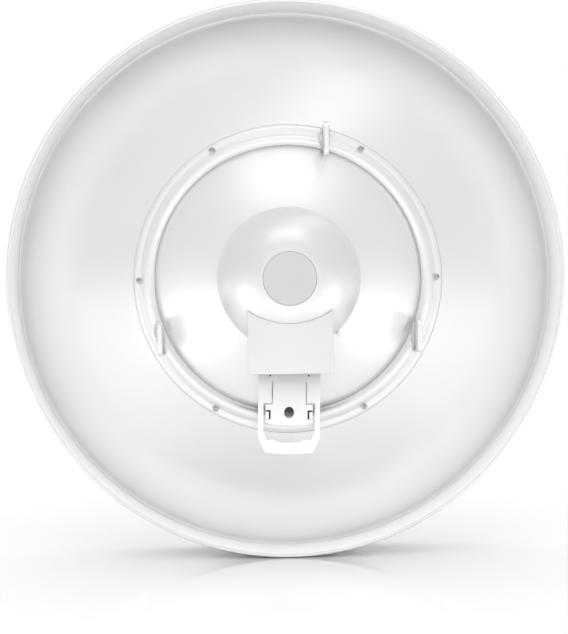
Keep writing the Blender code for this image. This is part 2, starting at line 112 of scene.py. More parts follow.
LATCH_TILT = math.radians(-1.4)
FRAME_FRONT_Z = 0.1735
FRAME_THICKNESS = 0.0050
FRAME_HALF_WIDTH = 0.0383
FRAME_ARM_INNER = 0.0317
FRAME_SHOULDER_Y = -0.1537
FRAME_CHAMFER_Y = -0.1974
FRAME_BOTTOM_HALF_WIDTH = 0.0294
FRAME_CORNER_Y = -0.2147
FRAME_BOTTOM_Y = -0.2167
GRIP_SIDE_Y = -0.1893
GRIP_HALF_WIDTH = 0.0268
GRIP_END_Y = -0.2004
GRIP_BUMP_X = 0.0216
GRIP_HIGH_Y = -0.1984
GRIP_MID_HALF_WIDTH = 0.0108
GRIP_LOW_Y = -0.2023
PIN_HOLE_X = 0.0238
PIN_HOLE_Y = -0.1195
PIN_HOLE_RADIUS = 0.0012
TONGUE_FRONT_Z = 0.1750
TONGUE_THICKNESS = 0.0035
TONGUE_HALF_WIDTH = 0.0202
SLIT_WIDTH = 0.0015
SLIT_TOP_Y = -0.1270
FOOT_HALF_WIDTH = 0.0292
FOOT_TOP_Y = -0.1554
FOOT_SIDE_Y = -0.1776
FOOT_BOTTOM_Y = -0.1812
NOTCH_X = 0.0228
NOTCH_TOP_Y = -0.1624
NOTCH_BOTTOM_Y = -0.1741
NOTCH_GAP = 0.0022
TONGUE_HOLE_Y = -0.1653
TONGUE_HOLE_HALF_WIDTH = 0.0062
TONGUE_HOLE_HALF_HEIGHT = 0.0072
COLLAR_RADIUS = 0.042
COLLAR_FRONT_Z = 0.1790
COLLAR_REAR_Z = 0.1845
SPIGOT_REAR_Z = 0.2050
FEED_TUBE_RADIUS = 0.019
FEED_CONE_REAR_Z = 0.060
FEED_CONE_FRONT_Z = 0.036
SPLASH_RADIUS = 0.045
SPLASH_FRONT_Z = 0.030
CAP_FRONT_Z = 0.016

# Sizes of the details
FINE_STEPS = 256
HUB_FINE_STEPS = 160
FEED_STEPS = 96
HOLE_STEPS = 40
PIN_STEPS = 20
EDGE_ROUND = 0.0006
PLATE_ROUND = 0.0005
ROUND_SEGMENTS = 3
NECK_TOP_ROUND = 0.0022
NECK_BOTTOM_ROUND = 0.0008
PIPE_SINK = 0.0035
PIPE_LEAN = math.radians(50.0)
FILLET_END_RADIUS = 0.1850
FLANGE_FLAT_RADIUS = 0.1884
FLANGE_EDGE_RADIUS = 0.1926
GROOVE_OUTER_RADIUS = 0.1938
GROOVE_DEPTH = 0.0008
RING_SCREW_COUNT = 6
RING_SCREW_CIRCLE = 0.1864
RING_SCREW_RADIUS = 0.0041
RING_SCREW_HEIGHT = 0.0024
RING_SCREW_TURN_SEED = 3
RIM_SCREW_COUNT = 12
RIM_SCREW_Z = 0.0715
RIM_SCREW_RADIUS = 0.0040
RIM_SCREW_HEIGHT = 0.0020
WELD_STEP = 0.0005
WELD_FEWEST_STEPS = 8
WELD_LIFT = 0.0015
SEAM_LAP = 0.0003
BEAD_TRIM = 0.0006
CORNER_REACH = 0.0085
CORNER_GAP = 0.00005
BOWL_LIP_STEP = 0.0004
BOWL_LIP_Z = -0.002
CENTRE_FOLD = 0.001
CENTRE_FLANGE_MIDDLE = 0.184
HOUSING_EDGE = 0.0004
TAB_ROUND = 0.0008
COLLAR_ROUND = 0.0015
CAP_ROUND = 0.0008
GRIP_SHOULDER = 0.0018
GRIP_SHOULDER_DROP = 0.0003
FOOT_CURVE_END = 0.95
FOOT_CURVE_POWER = 4
SCREW_FOOT = 0.0008
# Black sheets of painted shadow behind the latch's openings: their thickness and margin
SHADOW_SHEET_THICKNESS = 0.0015
SHADOW_SHEET_MARGIN = 0.0012
# The lower edge of the black sheet of painted shadow in the tongue's hole
SHADOW_EDGE_RIGHT = 0.0010
SHADOW_EDGE_POINT = 0.0010
SHADOW_EDGE_LEFT = 0.0026

# Screw heads, as shares of their radius and height
SCREW_SIDES = 64
SCREW_RINGS = 18
HEAD_CROWN = 0.30
HEAD_EDGE = 0.35
HEAD_EDGE_POWER = 10
CROSS_HALF_WIDTH = 0.17
CROSS_WALL = 0.05
CROSS_REACH = 0.66
CROSS_END = 0.2
CROSS_DEPTH = 0.65

# Weld beads: how rough they are, then the stations of each bead as (along the lug, beside it, radius)
WELD_RIPPLE = 0.35
WELD_RIPPLE_SCALE = 900.0
WELD_FINE_RIPPLE = 0.6
WELD_FINE_SCALE = 2100.0
WELD_SHAKE = 0.0005
WELD_SHAKE_SCALE = 1300.0
WELD_END = 0.04
TOP_LUG_BEADS = (
    ((0.016, -0.0035, 0.0030), (0.006, -0.0042, 0.0042), (-0.004, -0.0040, 0.0040),
     (-0.013, -0.0032, 0.0026)),
    ((0.020, 0.0042, 0.0044), (0.012, 0.0035, 0.0034), (0.000, 0.0032, 0.0032),
     (-0.012, 0.0030, 0.0026)),
)
LEFT_LUG_BEADS = (
    ((0.0215, -0.0020, 0.0022), (0.019, -0.0048, 0.0036), (0.008, -0.0048, 0.0040),
     (-0.004, -0.0034, 0.0026), (-0.017, -0.0030, 0.0022)),
    ((0.013, 0.0026, 0.0018), (0.000, 0.0030, 0.0024), (-0.012, 0.0032, 0.0026),
     (-0.0185, 0.0042, 0.0030)),
)
RIGHT_LUG_BEADS = (
    ((0.017, -0.0032, 0.0024), (0.004, -0.0040, 0.0034), (-0.008, -0.0040, 0.0034),
     (-0.0175, -0.0046, 0.0032)),
    ((0.0215, 0.0016, 0.0026), (0.018, 0.0030, 0.0024), (0.004, 0.0030, 0.0020),
     (-0.014, 0.0028, 0.0018)),
)

# Mesh building: limits for angles, for a corner's share of its side, and for distances taken as none
SMOOTH_ANGLE = math.radians(35.0)
EDGE_ANGLE = math.radians(40.0)
STRAIGHT_ANGLE = math.radians(155.0)
CORNER_SHARE = 0.45
ON_AXIS = 0.000001
SAME_POINT = 0.000005

# Finishes: the coat's metal flake, and the whites of the coats and mouldings
FLAKE = 0.8
COAT_ROUGHNESS = 0.36
COAT_WHITE = 0.86
# The bowl's white is above the coat's: painted light that brightens the whole bowl
BOWL_LIT_WHITE = 0.88
# The housing's white is below the coat's: painted shade that darkens the whole dome
HOUSING_SHADED_WHITE = 0.81
NECK_WHITE = 0.79
# The skirt's inner side is whiter than the coat: painted light on the band inside the skirt
SKIRT_PAINTED_LIGHT_WHITE = 0.98
MOULDING_WHITE = 0.86
LATCH_WHITE = 0.70
NOISE_LOW = 0.3
NOISE_HIGH = 0.7

# Camera: the photograph's frame and the point where the dish's axis vanishes
PHOTO_WIDTH = 568
PHOTO_HEIGHT = 634
FOCAL_LENGTH_PX = 1391.0
VANISH_X = 247.1
VANISH_Y = 287.0
CAMERA_DISTANCE = 1.892
CAMERA_LEFT = 0.0517
CAMERA_BELOW = 0.0096
ROLL = math.radians(0.8)
SENSOR_MM = 36.0

# Studio: a white floor, white surroundings, and softboxes as (name, place, width, height, watts)
PURE_WHITE = (1.0, 1.0, 1.0, 1.0)
FLOOR_HALF_SIZE = 12.0
FLOOR_WHITE = 0.69
FLOOR_ROUGHNESS = 0.08
FLOOR_GLOSS = 0.42
BACKDROP_STRENGTH = 1.0
MIRRORED_STRENGTH = 0.70
FILL_STRENGTH = 1.85
LIGHT_TARGET_Z = 0.12
SOFTBOXES = (
    ("camera_softbox", (0.0, 0.35, 1.9), 0.8, 0.6, 0.5),
    ("high_softbox", (0.0, 1.4, 1.4), 1.2, 0.8, 2.0),
    ("top_softbox", (0.6, 1.9, 0.4), 2.0, 0.8, 1.5),
    ("low_right_softbox", (0.62, -0.33, 0.75), 0.5, 0.3, 0.48),
    ("low_left_softbox", (-0.62, -0.33, 0.75), 0.5, 0.3, 0.60),
    ("low_middle_softbox", (0.0, -0.33, 0.95), 0.5, 0.3, 0.20),
)


def dish_place():
    """From the dish's frame to the part's, whose origin is on the top lug's left face."""
    return (Matrix.Translation((LUG_THICKNESS / 2.0 - TOP_LUG_X, LUG_HOLE_Z,
                                -TOP_LUG_Y - MOUNT_UP_FROM_HOLE))
            @ Matrix.Rotation(math.pi / 2.0, 4, "X"))


DISH = dish_place()


# Finishes

class Finish:
    """A procedural material: a principled shader with its textures in object space."""

    def __init__(self, name, colour, roughness, metallic=0.0):
        self.material = bpy.data.materials.new(name)
        self.material.use_nodes = True
        self.tree = self.material.node_tree
        self.shader = self.tree.nodes["Principled BSDF"]
        self.colour = colour
        self.roughness = roughness
        self.shader.inputs["Base Color"].default_value = (*colour, 1.0)
        self.shader.inputs["Roughness"].default_value = roughness
        self.shader.inputs["Metallic"].default_value = metallic
        self.place = self.tree.nodes.new("ShaderNodeTexCoord").outputs["Object"]
        self.normal = None

    def noise(self, scale, detail=2.0):
        node = self.tree.nodes.new("ShaderNodeTexNoise")
        node.inputs["Scale"].default_value = scale
        node.inputs["Detail"].default_value = detail
        self.tree.links.new(self.place, node.inputs["Vector"])
        return node.outputs["Fac"]

    def spread(self, value, low, high, start=NOISE_LOW, end=NOISE_HIGH):
        """Stretch a value that runs from start to end so that it runs from low to high."""
        node = self.tree.nodes.new("ShaderNodeMapRange")
        node.inputs["From Min"].default_value = start
        node.inputs["From Max"].default_value = end
        node.inputs["To Min"].default_value = low
        node.inputs["To Max"].default_value = high
        self.tree.links.new(value, node.inputs["Value"])
        return node.outputs["Result"]

    def mottle(self, scale, darkest, detail=3.0):
        """Vary the colour between full and darkest times its value."""
        mix = self.tree.nodes.new("ShaderNodeMix")
        mix.data_type = "RGBA"
        mix.inputs["A"].default_value = (*[c * darkest for c in self.colour], 1.0)
        mix.inputs["B"].default_value = (*self.colour, 1.0)
        factor = self.spread(self.noise(scale, detail), 0.0, 1.0)
        self.tree.links.new(factor, mix.inputs["Factor"])
        self.tree.links.new(mix.outputs["Result"], self.shader.inputs["Base Color"])
        return self

    def nearer_axis_than(self, radius):
        """1 where the surface lies nearer to the dish's axis than the radius, else 0."""
        across = self.tree.nodes.new("ShaderNodeVectorMath")
        across.operation = "MULTIPLY"
        across.inputs[1].default_value = (1.0, 1.0, 0.0)
        length = self.tree.nodes.new("ShaderNodeVectorMath")
        length.operation = "LENGTH"
        below = self.tree.nodes.new("ShaderNodeMath")
        below.operation = "LESS_THAN"
        below.inputs[1].default_value = radius
        self.tree.links.new(self.place, across.inputs[0])
        self.tree.links.new(across.outputs["Vector"], length.inputs[0])
        self.tree.links.new(length.outputs["Value"], below.inputs[0])
        return below.outputs["Value"]

    def patchy_gloss(self, scale, amount):
        """Vary the roughness by the amount to either side."""
        value = self.spread(self.noise(scale), self.roughness - amount, self.roughness + amount)
        self.tree.links.new(value, self.shader.inputs["Roughness"])
        return self

    def bump(self, scale, height, detail=2.0):
        """Fine relief, laid over any relief that is there already."""
        node = self.tree.nodes.new("ShaderNodeBump")
        node.inputs["Strength"].default_value = 1.0
        node.inputs["Distance"].default_value = height
        self.tree.links.new(self.noise(scale, detail), node.inputs["Height"])
        if self.normal is not None:
            self.tree.links.new(self.normal, node.inputs["Normal"])
        self.normal = node.outputs["Normal"]
        self.tree.links.new(self.normal, self.shader.inputs["Normal"])
        return self


def grey(value):
    return (value, value, value)


def orange_peel(finish):
    """The faint unevenness of a baked coat, in its gloss and its surface."""
    finish.patchy_gloss(scale=14.0, amount=0.03)
    finish.bump(scale=420.0, height=0.00003)
    return finish.bump(scale=1800.0, height=0.00001)


def powder_coat(name, white=COAT_WHITE):
    """Pearl-white coat with fine metal flake, on the sheet metal, the housing and its neck."""
    finish = Finish(name, grey(white), COAT_ROUGHNESS, metallic=FLAKE)
    return orange_peel(finish.mottle(scale=9.0, darkest=0.975)).material


def skirt_coat_with_painted_light(name):
    """The same coat on the outer side; the inner side is whiter and without flake, painted light for
    the light its wall catches.
    """
    finish = Finish(name, grey(COAT_WHITE), COAT_ROUGHNESS)
    # Mask of the skirt's inner side, which carries the painted light
    painted_light_side = finish.nearer_axis_than(SKIRT_OUTER_RADIUS - SKIRT_WALL / 2.0)
    mix = finish.tree.nodes.new("ShaderNodeMix")
    mix.data_type = "RGBA"
    mix.inputs["A"].default_value = (*finish.colour, 1.0)
    mix.inputs["B"].default_value = (*grey(SKIRT_PAINTED_LIGHT_WHITE), 1.0)
    finish.tree.links.new(painted_light_side, mix.inputs["Factor"])
    finish.tree.links.new(mix.outputs["Result"], finish.shader.inputs["Base Color"])
    flake = finish.spread(painted_light_side, low=FLAKE, high=0.0, start=0.0, end=1.0)
    finish.tree.links.new(flake, finish.shader.inputs["Metallic"])
    return orange_peel(finish).material


def moulded(name, colour=grey(MOULDING_WHITE), roughness=0.36):
    """White moulded plastic with a fine eroded grain."""
    finish = Finish(name, colour, roughness)
    finish.mottle(scale=30.0, darkest=0.985)
    finish.patchy_gloss(scale=40.0, amount=0.03)
    return finish.bump(scale=2200.0, height=0.000025).material


def bare_metal(name, colour, roughness):
    """Turned or rolled metal with fine marks."""
    finish = Finish(name, colour, roughness, metallic=1.0)
    finish.mottle(scale=300.0, darkest=0.85)
    finish.patchy_gloss(scale=250.0, amount=0.08)
    return finish.bump(scale=900.0, height=0.00002).material


def weld_with_painted_shade(name):
    """Weld bead under the coat, lumpy: its grey is partly the coat over the weld and partly painted
    shade for the micro-shadows among its lumps, varied at random.
    """
    # Grey well below the coat's white: painted shade of the micro-shadows among the lumps
    finish = Finish(name, grey(0.58), roughness=0.42)
    finish.mottle(scale=500.0, darkest=0.70, detail=5.0)
    finish.patchy_gloss(scale=300.0, amount=0.08)
    return finish.bump(scale=700.0, height=0.0003, detail=4.0).material


COAT = powder_coat("white_coat")
BOWL_LIT_COAT = powder_coat("bowl_coat_painted_light", BOWL_LIT_WHITE)
SKIRT_COAT_WITH_PAINTED_LIGHT = skirt_coat_with_painted_light("skirt_coat_with_painted_light")
MOULDING = moulded("white_moulding")
HOUSING_SHADED_COAT = powder_coat("housing_coat_painted_shade", HOUSING_SHADED_WHITE)
NECK_COAT = powder_coat("neck_coat", NECK_WHITE)
LATCH_MOULDING = moulded("latch_moulding", grey(LATCH_WHITE), roughness=0.34)
DISC_FINISH = moulded("disc_grey", (0.45, 0.45, 0.455), roughness=0.5)
TAB_FINISH = moulded("tab_grey", (0.74, 0.74, 0.75), roughness=0.5)
CONE_FINISH = moulded("cone_white", (0.78, 0.78, 0.77), roughness=0.45)
# Black for the port block's socket, and for the sheets of painted shadow at the latch
SOCKET_AND_SHADOW_BLACK = moulded("socket_and_painted_shadow_black", (0.02, 0.02, 0.022), roughness=0.45)
WELD_FINISH_WITH_SHADE = weld_with_painted_shade("weld_with_painted_shade")
STEEL = bare_metal("screw_steel", (0.62, 0.62, 0.63), roughness=0.22)
ALUMINIUM = bare_metal("turned_aluminium", (0.80, 0.80, 0.81), roughness=0.28)


# Mesh building

def finished(mesh, name):
    """Turn a working mesh into mesh data and let go of it."""
    data = bpy.data.meshes.new(name)
    mesh.to_mesh(data)
    mesh.free()
    return data


def join_rings(mesh, first, second):
    """Faces between two closed rings; a ring may be one vertex repeated."""
    count = len(first)
    for j in range(count):
        k = (j + 1) % count
        loop = []
        for vertex in (first[j], second[j], second[k], first[k]):
            if vertex not in loop:
                loop.append(vertex)
        if len(loop) > 2:
            mesh.faces.new(loop)


def add_piece(name, mesh, material, *nodes):
    """Place a mesh drawn in the dish's frame and let it ride with the antenna."""
    obj = bpy.data.objects.new(name, mesh)
    bpy.context.scene.collection.objects.link(obj)
    obj.data.materials.append(material)
    obj.matrix_world = DISH
    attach(obj, "root")
    if nodes:
        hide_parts(*nodes)
    return obj


def smooth(obj, angle=SMOOTH_ANGLE):
    """Shade a piece smooth, except across edges that are sharper than the angle."""
    obj.data.shade_smooth()
    obj.data.set_sharp_from_angle(angle=angle)
    normals = obj.modifiers.new("normals", "WEIGHTED_NORMAL")
    normals.keep_sharp = True
    return obj


def evenly(start, end, count):
    return [start + (end - start) * i / (count - 1) for i in range(count)]


def bend(start, corner, end, count):
    """Points along a curve from start to end that is pulled towards the corner."""
    return [tuple(start * (1 - t) ** 2 + corner * 2 * t * (1 - t) + end * t ** 2)
            for t in evenly(0.0, 1.0, count)]


def softened(points, radius, closed=True):
    """Round each clear corner of a profile by a short curve."""
    result = []
    count = len(points)
    for i, corner in enumerate(points):
        if not closed and i in (0, count - 1):
            result.append(corner)
            continue
        here = Vector(corner)
        back = Vector(points[i - 1]) - here
        ahead = Vector(points[(i + 1) % count]) - here
        if back.angle(ahead) > STRAIGHT_ANGLE:
            result.append(corner)
            continue
        reach = min(radius, CORNER_SHARE * back.length, CORNER_SHARE * ahead.length)
        start = here + back.normalized() * reach
        end = here + ahead.normalized() * reach
        result += bend(start, here, end, count=5)
    return result


def lathe_mesh(name, profile, steps, closed=True):
    """Turn a profile of (radius, z) about Z; it runs down its outer side."""
    mesh = bmesh.new()
    turns = [math.tau * j / steps for j in range(steps)]
    rings = []
    for radius, z in profile:
        if radius < ON_AXIS:
            rings.append([mesh.verts.new((0.0, 0.0, z))] * steps)
            continue
        rings.append([mesh.verts.new((radius * math.cos(turn), radius * math.sin(turn), z))
                      for turn in turns])
    pairs = list(zip(rings, rings[1:]))
    if closed:
        pairs.append((rings[-1], rings[0]))
    for upper, lower in pairs:
        join_rings(mesh, upper, lower)
    return finished(mesh, name)


def lathe(name, profile, material, steps, *nodes, closed=True):
    return smooth(add_piece(name, lathe_mesh(name, profile, steps, closed), material, *nodes))


def turned_piece(name, profile, material, node, edge=EDGE_ROUND, steps=FEED_STEPS):
    """A turned piece whose profile begins and ends on the axis."""
    return lathe(name, softened(profile, edge, closed=False), material, steps, node, closed=False)


def offset_sheet(rear, thickness):
    """Close a rear profile, listed from the centre outward, into a sheet of even thickness."""
    front = []
    for i, point in enumerate(rear):
        before = Vector(rear[max(i - 1, 0)])
        after = Vector(rear[min(i + 1, len(rear) - 1)])
        along = (after - before).normalized()
        front.append((point[0] + along.y * thickness, point[1] - along.x * thickness))
    return rear + list(reversed(front))


def sweep_mesh(name, path, radii, sides=12):
    """A closed tube of varying radius along a list of points."""
    mesh = bmesh.new()
    rings = []
    for i, point in enumerate(path):
        along = (path[min(i + 1, len(path) - 1)] - path[max(i - 1, 0)]).normalized()
        side = along.cross(Vector((0.0, 0.0, 1.0))).normalized()
        lift = side.cross(along)
        turns = [math.tau * j / sides for j in range(sides)]
        rings.append([mesh.verts.new(point + radii[i] * (side * math.cos(turn)
                                                         + lift * math.sin(turn)))
                      for turn in turns])
    for lower, upper in zip(rings, rings[1:]):
        join_rings(mesh, lower, upper)
    mesh.faces.new(rings[0])
    mesh.faces.new(list(reversed(rings[-1])))
    bmesh.ops.recalc_face_normals(mesh, faces=mesh.faces)
    return finished(mesh, name)


def plate_mesh(name, outlines, thickness):
    """A flat piece from closed outlines, the first its edge and the rest its holes."""
    curve = bpy.data.curves.new(name, "CURVE")
    curve.dimensions = "2D"
    curve.fill_mode = "BOTH"
    curve.extrude = thickness / 2.0
    for outline in outlines:
        spline = curve.splines.new("POLY")
        spline.points.add(len(outline) - 1)
        for point, (x, y) in zip(spline.points, outline):
            point.co = (x, y, 0.0, 1.0)
        spline.use_cyclic_u = True
    holder = bpy.data.objects.new(name, curve)
    bpy.context.scene.collection.objects.link(holder)
    bpy.context.view_layer.update()
    evaluated = holder.evaluated_get(bpy.context.evaluated_depsgraph_get())
    data = bpy.data.meshes.new_from_object(evaluated)
    bpy.data.objects.remove(holder, do_unlink=True)
    shape = bmesh.new()
    shape.from_mesh(data)
    bmesh.ops.remove_doubles(shape, verts=shape.verts, dist=SAME_POINT)
    bmesh.ops.recalc_face_normals(shape, faces=shape.faces)
    shape.to_mesh(data)
    shape.free()
    return data


def rounded_edges(obj, width, limit="ANGLE"):
    """Round the clear edges, or by the limit WEIGHT those that carry a weight."""
    bevel = obj.modifiers.new("edges", "BEVEL")
    bevel.width = width
    bevel.segments = ROUND_SEGMENTS
    bevel.limit_method = limit
    bevel.angle_limit = EDGE_ANGLE
    return smooth(obj)


def ellipse(centre_x, centre_y, half_width, half_height, steps):
    return [(centre_x + half_width * math.cos(math.tau * i / steps),
             centre_y + half_height * math.sin(math.tau * i / steps)) for i in range(steps)]


def arc(centre_x, centre_y, radius, start, end, steps):
    return [(centre_x + radius * math.cos(start + (end - start) * i / steps),
             centre_y + radius * math.sin(start + (end - start) * i / steps))
            for i in range(steps + 1)]


def mirrored(half):
    return half + [(-x, y) for x, y in reversed(half)]


def rectangle(left, right, top, bottom):
    return [(left, top), (right, top), (right, bottom), (left, bottom)]


def plug(rear_radius, rear_z, front_radius, front_z):
    """Profile of a solid turned piece with flat ends."""
    return [(0.0, rear_z), (rear_radius, rear_z), (front_radius, front_z), (0.0, front_z)]


def round_section(centre_radius, centre_z, section_radius, sides):
    return [(centre_radius + section_radius * math.cos(-math.tau * i / sides),
             centre_z + section_radius * math.sin(-math.tau * i / sides)) for i in range(sides)]


# Reflector surfaces

def bowl_edge_radius():
    return SKIRT_OUTER_RADIUS - SKIRT_WALL - GAP


def bowl_rear_z(radius):
    edge = bowl_edge_radius()
    slope = SEAT_Z / (edge ** 2 - BOWL_SEAT_RADIUS ** 2)
    return (edge ** 2 - radius ** 2) * slope


def centre_rear_z(radius):
    return CENTRE_APEX_Z - radius ** 2 / (4.0 * CENTRE_FOCAL_LENGTH)


def centre_flange_z():
    return SEAT_Z - GAP - SHEET - GAP


def outer_bowl():
    """The bowl: its seat under the ring, a fine groove, the slope, a corner and a front lip."""
    edge = bowl_edge_radius()
    seat_z = SEAT_Z - GAP
    groove_z = seat_z - GROOVE_DEPTH
    seat = [(r, seat_z) for r in (BOWL_INNER_RADIUS, FLANGE_FLAT_RADIUS, FLANGE_EDGE_RADIUS)]
    groove = [(FLANGE_EDGE_RADIUS, groove_z), (GROOVE_OUTER_RADIUS, groove_z)]
    slope = [(r, bowl_rear_z(r))
             for r in evenly(GROOVE_OUTER_RADIUS, edge - BOWL_LIP_STEP, count=36)]
    slope.append((edge, 0.0))
    lip = [(edge, z) for z in evenly(BOWL_LIP_Z, SKIRT_FRONT_Z + GAP, count=4)]
    sheet = offset_sheet(seat + slope + lip, SHEET)
    front = sheet[len(sheet) // 2:]
    rear = [point for point in slope if point[0] < edge - CORNER_REACH] + skirt_corner()
    lathe("bowl_sheet", softened(seat + groove + rear + lip + front, EDGE_ROUND), BOWL_LIT_COAT,
          FINE_STEPS, "outer_bowl")


def skirt_corner():
    """The curve by which the bowl's rear side runs up against the skirt's wall."""
    wall = SKIRT_OUTER_RADIUS - SKIRT_WALL - CORNER_GAP
    start = Vector((wall - CORNER_REACH, bowl_rear_z(wall - CORNER_REACH)))
    middle = Vector((wall, bowl_rear_z(wall)))
    end = Vector((wall, middle.y + CORNER_REACH))
    return bend(start, middle, end, count=12)


def centre_reflector():
    """The smaller dish inside the ring, with a flat flange under it."""
    flange_z = centre_flange_z()
    meet = math.sqrt((CENTRE_APEX_Z - flange_z) * 4.0 * CENTRE_FOCAL_LENGTH)
    rear = [(r, centre_rear_z(r))
            for r in evenly(CENTRE_HOLE_RADIUS, meet - CENTRE_FOLD, count=30)]
    rear += [(r, flange_z)
             for r in (meet + CENTRE_FOLD, CENTRE_FLANGE_MIDDLE, CENTRE_FLANGE_RADIUS)]
    lathe("centre_sheet", softened(offset_sheet(rear, SHEET), EDGE_ROUND), COAT, FINE_STEPS,
          "centre_reflector")


# Skirt

def rim_skirt():
    wall = rectangle(SKIRT_OUTER_RADIUS - SKIRT_WALL, SKIRT_OUTER_RADIUS,
                     SKIRT_REAR_Z, SKIRT_FRONT_Z)
    lathe("skirt_wall", softened(wall, EDGE_ROUND / 2.0), SKIRT_COAT_WITH_PAINTED_LIGHT, FINE_STEPS, "rim_skirt")


def rim_roll():
    """The rolled rear edge of the skirt."""
    middle = SKIRT_OUTER_RADIUS - SKIRT_WALL / 2.0
    roll = round_section(middle, SKIRT_REAR_Z + GAP + ROLL_RADIUS, ROLL_RADIUS, sides=16)
    lathe("skirt_roll", roll, COAT, FINE_STEPS, "rim_roll")


def front_bead():
    """The bead round the front, over the ends of the skirt and the bowl's lip."""
    middle = SKIRT_OUTER_RADIUS - SKIRT_WALL / 2.0
    bead = round_section(middle - SHEET / 2.0, SKIRT_FRONT_Z - GAP - BEAD_RADIUS,
                         BEAD_RADIUS - BEAD_TRIM, sides=20)
    lathe("skirt_bead", bead, COAT, FINE_STEPS, "front_bead")


# Mounting ring

def pipe_centre_z():
    """The pipe is drawn sunk towards the flange, since its weld fills the corner beside it."""
    return SEAT_Z + FLANGE_THICKNESS + GAP + TUBE_RADIUS - PIPE_SINK


def ring_rear_z(radius):
    """Height of the ring's rear side: the pipe, its filled weld, then the flange."""
    leave = TUBE_RING_RADIUS + TUBE_RADIUS * math.sin(PIPE_LEAN)
    if radius <= leave:
        across = min(abs(radius - TUBE_RING_RADIUS), TUBE_RADIUS)
        return pipe_centre_z() + math.sqrt(TUBE_RADIUS ** 2 - across ** 2)
    flat_z = SEAT_Z + FLANGE_THICKNESS
    if radius < FILLET_END_RADIUS:
        span = FILLET_END_RADIUS - leave
        t = (radius - leave) / span
        high = pipe_centre_z() + TUBE_RADIUS * math.cos(PIPE_LEAN)
        fall = math.tan(PIPE_LEAN) * span * (t ** 3 - 2.0 * t ** 2 + t)
        return high + (flat_z - high) * (3.0 * t ** 2 - 2.0 * t ** 3) - fall
    across = max(0.0, radius - FLANGE_FLAT_RADIUS) / (FLANGE_EDGE_RADIUS - FLANGE_FLAT_RADIUS)
    return SEAT_Z + FLANGE_THICKNESS * math.sqrt(max(0.0, 1.0 - across ** 2))


def ring_flange():
    """The flange, flat on its rear side, with a rounded outer edge."""
    top_z = SEAT_Z + FLANGE_THICKNESS
    width = FLANGE_EDGE_RADIUS - FLANGE_FLAT_RADIUS
    flange = [(FLANGE_INNER_RADIUS, top_z), (FLANGE_FLAT_RADIUS, top_z)]
    for turn in evenly(0.0, math.pi / 2.0, count=12)[1:]:
        flange.append((FLANGE_FLAT_RADIUS + width * math.sin(turn),
                       SEAT_Z + FLANGE_THICKNESS * math.cos(turn)))
    flange.append((FLANGE_INNER_RADIUS, SEAT_Z))
    lathe("ring_plate", flange, COAT, FINE_STEPS, "ring_flange")


def ring_tube():
    """The pipe and the weld that fills its outer corner."""
    pipe = [(TUBE_RING_RADIUS + TUBE_RADIUS * math.sin(turn),
             pipe_centre_z() + TUBE_RADIUS * math.cos(turn))
            for turn in evenly(-math.pi, PIPE_LEAN, count=34)]
    leave = pipe[-1][0]
    pipe += [(r, ring_rear_z(r)) for r in evenly(leave, FILLET_END_RADIUS, count=14)[1:-1]]
    pipe += [(FILLET_END_RADIUS, SEAT_Z + FLANGE_THICKNESS), (FILLET_END_RADIUS, SEAT_Z + GAP)]
    lathe("ring_pipe", pipe, COAT, FINE_STEPS, "ring_tube")


# Screws

def head_height(x, y):
    """Height over the head's foot as a share of its height, at a place on its unit disc."""
    across = math.hypot(x, y)
    crown = 1.0 - HEAD_CROWN * across ** 2 - HEAD_EDGE * across ** HEAD_EDGE_POWER
    within = (CROSS_HALF_WIDTH - min(abs(x), abs(y))) / CROSS_WALL
    along = (CROSS_REACH - max(abs(x), abs(y))) / CROSS_END
    recess = min(1.0, max(0.0, within)) * min(1.0, max(0.0, along))
    return crown - CROSS_DEPTH * recess


def screw_mesh(name, radius, height):
    """A pan head standing on Z = 0 with a tapered cross recess."""
    mesh = bmesh.new()
    centre = mesh.verts.new((0.0, 0.0, height * head_height(0.0, 0.0)))
    turns = [math.tau * j / SCREW_SIDES for j in range(SCREW_SIDES)]
    previous = [centre] * SCREW_SIDES
    for share in evenly(0.0, 1.0, SCREW_RINGS + 1)[1:]:
        places = [(share * math.cos(turn), share * math.sin(turn)) for turn in turns]
        ring = [mesh.verts.new((radius * x, radius * y, height * head_height(x, y)))
                for x, y in places]
        join_rings(mesh, previous, ring)
        previous = ring
    foot = [mesh.verts.new((vert.co.x, vert.co.y, -SCREW_FOOT)) for vert in previous]
    join_rings(mesh, previous, foot)
    mesh.faces.new(list(reversed(foot)))
    return finished(mesh, name)


def ring_screws():
    """Screws through the flange, each stopped at a turn of its own."""
    chance = random.Random(RING_SCREW_TURN_SEED)
    for i in range(RING_SCREW_COUNT):
        angle = math.tau * i / RING_SCREW_COUNT
        mesh = screw_mesh(f"ring_screw_{i + 1}", RING_SCREW_RADIUS, RING_SCREW_HEIGHT)
        mesh.transform(Matrix.Translation((RING_SCREW_CIRCLE * math.cos(angle),
                                           RING_SCREW_CIRCLE * math.sin(angle),
                                           SEAT_Z + FLANGE_THICKNESS))
                       @ Matrix.Rotation(chance.uniform(0.0, math.pi), 4, "Z"))
        smooth(add_piece(f"ring_screw_{i + 1}", mesh, STEEL))


def rim_screws():
    for i in range(RIM_SCREW_COUNT):
        angle = math.tau * i / RIM_SCREW_COUNT
        mesh = screw_mesh(f"rim_screw_{i + 1}", RIM_SCREW_RADIUS, RIM_SCREW_HEIGHT)
        mesh.transform(Matrix.Rotation(angle, 4, "Z")
                       @ Matrix.Translation((SKIRT_OUTER_RADIUS, 0.0, RIM_SCREW_Z))
                       @ Matrix.Rotation(math.pi / 2.0, 4, "Y"))
        smooth(add_piece(f"rim_screw_{i + 1}", mesh, STEEL))


# Lugs and their welds

def lug_frame(x, y):
    """Stand a plate up at a place: its outline's first measure runs up Y, its second along Z."""
    upright = Matrix(((0, 0, 1), (1, 0, 0), (0, 1, 0))).to_4x4()
    return Matrix.Translation((x, y, 0.0)) @ upright


